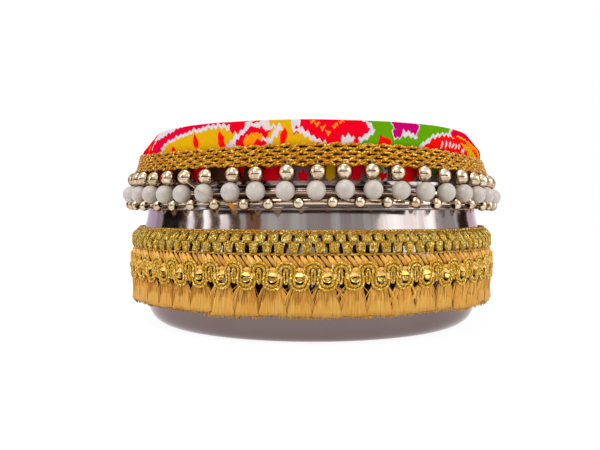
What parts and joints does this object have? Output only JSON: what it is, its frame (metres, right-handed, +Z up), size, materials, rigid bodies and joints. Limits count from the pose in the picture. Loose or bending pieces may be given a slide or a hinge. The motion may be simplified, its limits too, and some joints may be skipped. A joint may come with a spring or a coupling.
{
  "type": "sweet box",
  "caption": "Round steel box with a lift-off cap lid, padded fabric cover, woven braid, bead fringe and a lace with tassels round its belly.",
  "frame": {"origin": "middle of the flat base, on the surface that the box stands on", "axes": "+Z up along the box's axis, towards the lid; the front looks along -Y"},
  "size_m": [0.1934, 0.1934, 0.0975],
  "materials": {
    "steel": "polished",
    "ikat_fabric": "printed cotton",
    "antique_gold_braid": "metallic thread",
    "gold_bead": "metal coated, mirror gloss",
    "pearl": "satin pearl",
    "thread": "matt",
    "tinsel": "metallic thread",
    "silk": "silky",
    "sequin": "mirror gloss"
  },
  "bodies": {
    "box": {"body_shell": "steel", "lace_top_cord": "tinsel", "lace_upper_blocks": "tinsel", "lace_lower_blocks": "tinsel", "lace_mid_cord": "tinsel", "lace_silk_slants": "silk", "lace_gimp_waves": "tinsel", "lace_sequins": "sequin", "tassels": "silk"},
    "lid": {"lid_shell": "steel", "lid_cover": "ikat_fabric", "lid_braid": "antique_gold_braid", "gold_beads": "gold_bead", "pearl_beads": "pearl", "small_gold_beads": "gold_bead", "bead_threads": "thread"}
  },
  "joints": [
    {"name": "lid_lift", "type": "slide", "parent": "box", "child": "lid", "axis": [0, 0, 1], "range_m": [0, 0.12]}
  ]
}
